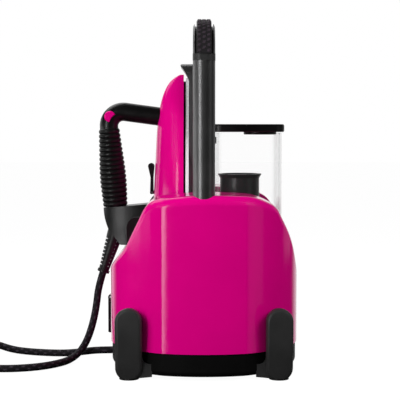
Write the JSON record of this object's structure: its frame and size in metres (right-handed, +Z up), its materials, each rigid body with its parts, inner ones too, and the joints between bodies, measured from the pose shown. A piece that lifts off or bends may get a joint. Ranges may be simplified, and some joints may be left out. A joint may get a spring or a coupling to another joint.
{
  "type": "steam generator iron",
  "caption": "Rounded steam generator base with a carrying handle, clear water tank and upright docked steam iron on a braided hose, for ironing and steaming clothes.",
  "frame": {"origin": "on the floor, under the middle of the object's box without its hose", "axes": "+X from the iron's side to the tank's side, +Y from the front end to the rear end, +Z up"},
  "size_m": [0.478, 0.2896, 0.3959],
  "materials": {
    "pink_gloss": "gloss",
    "black_plastic": "satin",
    "anthracite": "satin",
    "bumper_black": "fine grain",
    "inlay_soft": "lozenge grain",
    "soft_rubber": "matte",
    "clear_tank": "clear gloss",
    "filter_grey": "satin",
    "sole_steel": "brushed",
    "steel": "brushed",
    "brass": "turned",
    "board_green": "lacquered",
    "hose_braid": "braided"
  },
  "bodies": {
    "base": {"casing_front": "pink_gloss", "casing_rear": "pink_gloss", "base_pan": "black_plastic", "bumper_front_left": "bumper_black", "bumper_front_right": "bumper_black", "bumper_rear_left": "bumper_black", "bumper_rear_right": "bumper_black", "rubber_feet": "soft_rubber", "handle_bow": "anthracite", "grip_inlay": "inlay_soft", "post_collar_front": "anthracite", "post_collar_rear": "anthracite", "iron_rest": "anthracite", "iron_dock": "black_plastic", "iron_cradle": "black_plastic", "tank_tray": "black_plastic", "tank_coupling": "black_plastic", "boiler": "steel", "boiler_heater": "steel", "boiler_saddles": "steel", "safety_valve": "brass", "solenoid_valve": "black_plastic", "pump": "black_plastic", "control_board": "board_green", "tank_pipe": "soft_rubber", "feed_pipe": "soft_rubber", "steam_pipe": "soft_rubber", "base_screws": "steel", "mains_gland": "black_plastic", "hose_gland": "black_plastic", "clip_bracket": "pink_gloss", "clip_pin": "steel", "steam_hose_iron_run": "hose_braid", "hose_coil": "hose_braid", "steam_hose_base_run": "hose_braid", "hose_tie": "soft_rubber"},
    "iron": {"soleplate": "sole_steel", "heat_shield": "black_plastic", "iron_shell": "pink_gloss", "trigger_pin": "steel", "sole_heater": "steel", "iron_handle": "black_plastic", "grip_sleeve": "soft_rubber", "strain_relief": "soft_rubber", "heel_cover": "black_plastic"},
    "trigger": {"trigger": "black_plastic"},
    "button_front": {"steam_button_front": "pink_gloss"},
    "button_rear": {"steam_button_rear": "pink_gloss"},
    "tank": {"water_tank": "clear_tank", "tank_valve": "black_plastic", "hinge_bracket": "black_plastic", "lid_pin": "steel"},
    "lid": {"tank_lid": "black_plastic", "filler_plug": "black_plastic"},
    "filter": {"filter_cartridge": "filter_grey"},
    "clip": {"hose_clip": "black_plastic"},
    "rocker": {"power_switch": "black_plastic"},
    "drain": {"drain_plug": "black_plastic"}
  },
  "joints": [
    {"name": "iron_lift", "type": "slide", "parent": "base", "child": "iron", "axis": [-0.6, 0, 0.8], "range_m": [0, 0.12]},
    {"name": "trigger_pull", "type": "hinge", "parent": "iron", "child": "trigger", "pos_m": [-0.053, 0, 0.2], "axis": [0, -1, 0], "range_deg": [0, 14], "stiffness_Nm_per_rad": 0.2},
    {"name": "button_front_press", "type": "slide", "parent": "iron", "child": "button_front", "axis": [0, 1, 0], "range_m": [0, 0.0015], "stiffness_N_per_m": 400},
    {"name": "button_rear_press", "type": "slide", "parent": "iron", "child": "button_rear", "axis": [0, -1, 0], "range_m": [0, 0.0015], "stiffness_N_per_m": 400},
    {"name": "tank_lift", "type": "slide", "parent": "base", "child": "tank", "axis": [0, 0, 1], "range_m": [0, 0.06]},
    {"name": "lid_open", "type": "hinge", "parent": "tank", "child": "lid", "pos_m": [0.019, 0, 0.2748], "axis": [0, -1, 0], "range_deg": [0, 75]},
    {"name": "filter_lift", "type": "slide", "parent": "tank", "child": "filter", "axis": [0, 0, 1], "range_m": [0, 0.04]},
    {"name": "clip_swing", "type": "hinge", "parent": "base", "child": "clip", "pos_m": [-0.1042, 0.016, 0.0722], "axis": [0, 1, 0], "range_deg": [0, 100]},
    {"name": "switch_rock", "type": "hinge", "parent": "base", "child": "rocker", "pos_m": [0.009, 0.134, 0.096], "axis": [-1, 0, 0], "range_deg": [0, 14]},
    {"name": "drain_turn", "type": "hinge", "parent": "base", "child": "drain", "pos_m": [0.06, -0.06, 0.008], "axis": [0, 0, 1], "range_deg": [0, 90]}
  ]
}
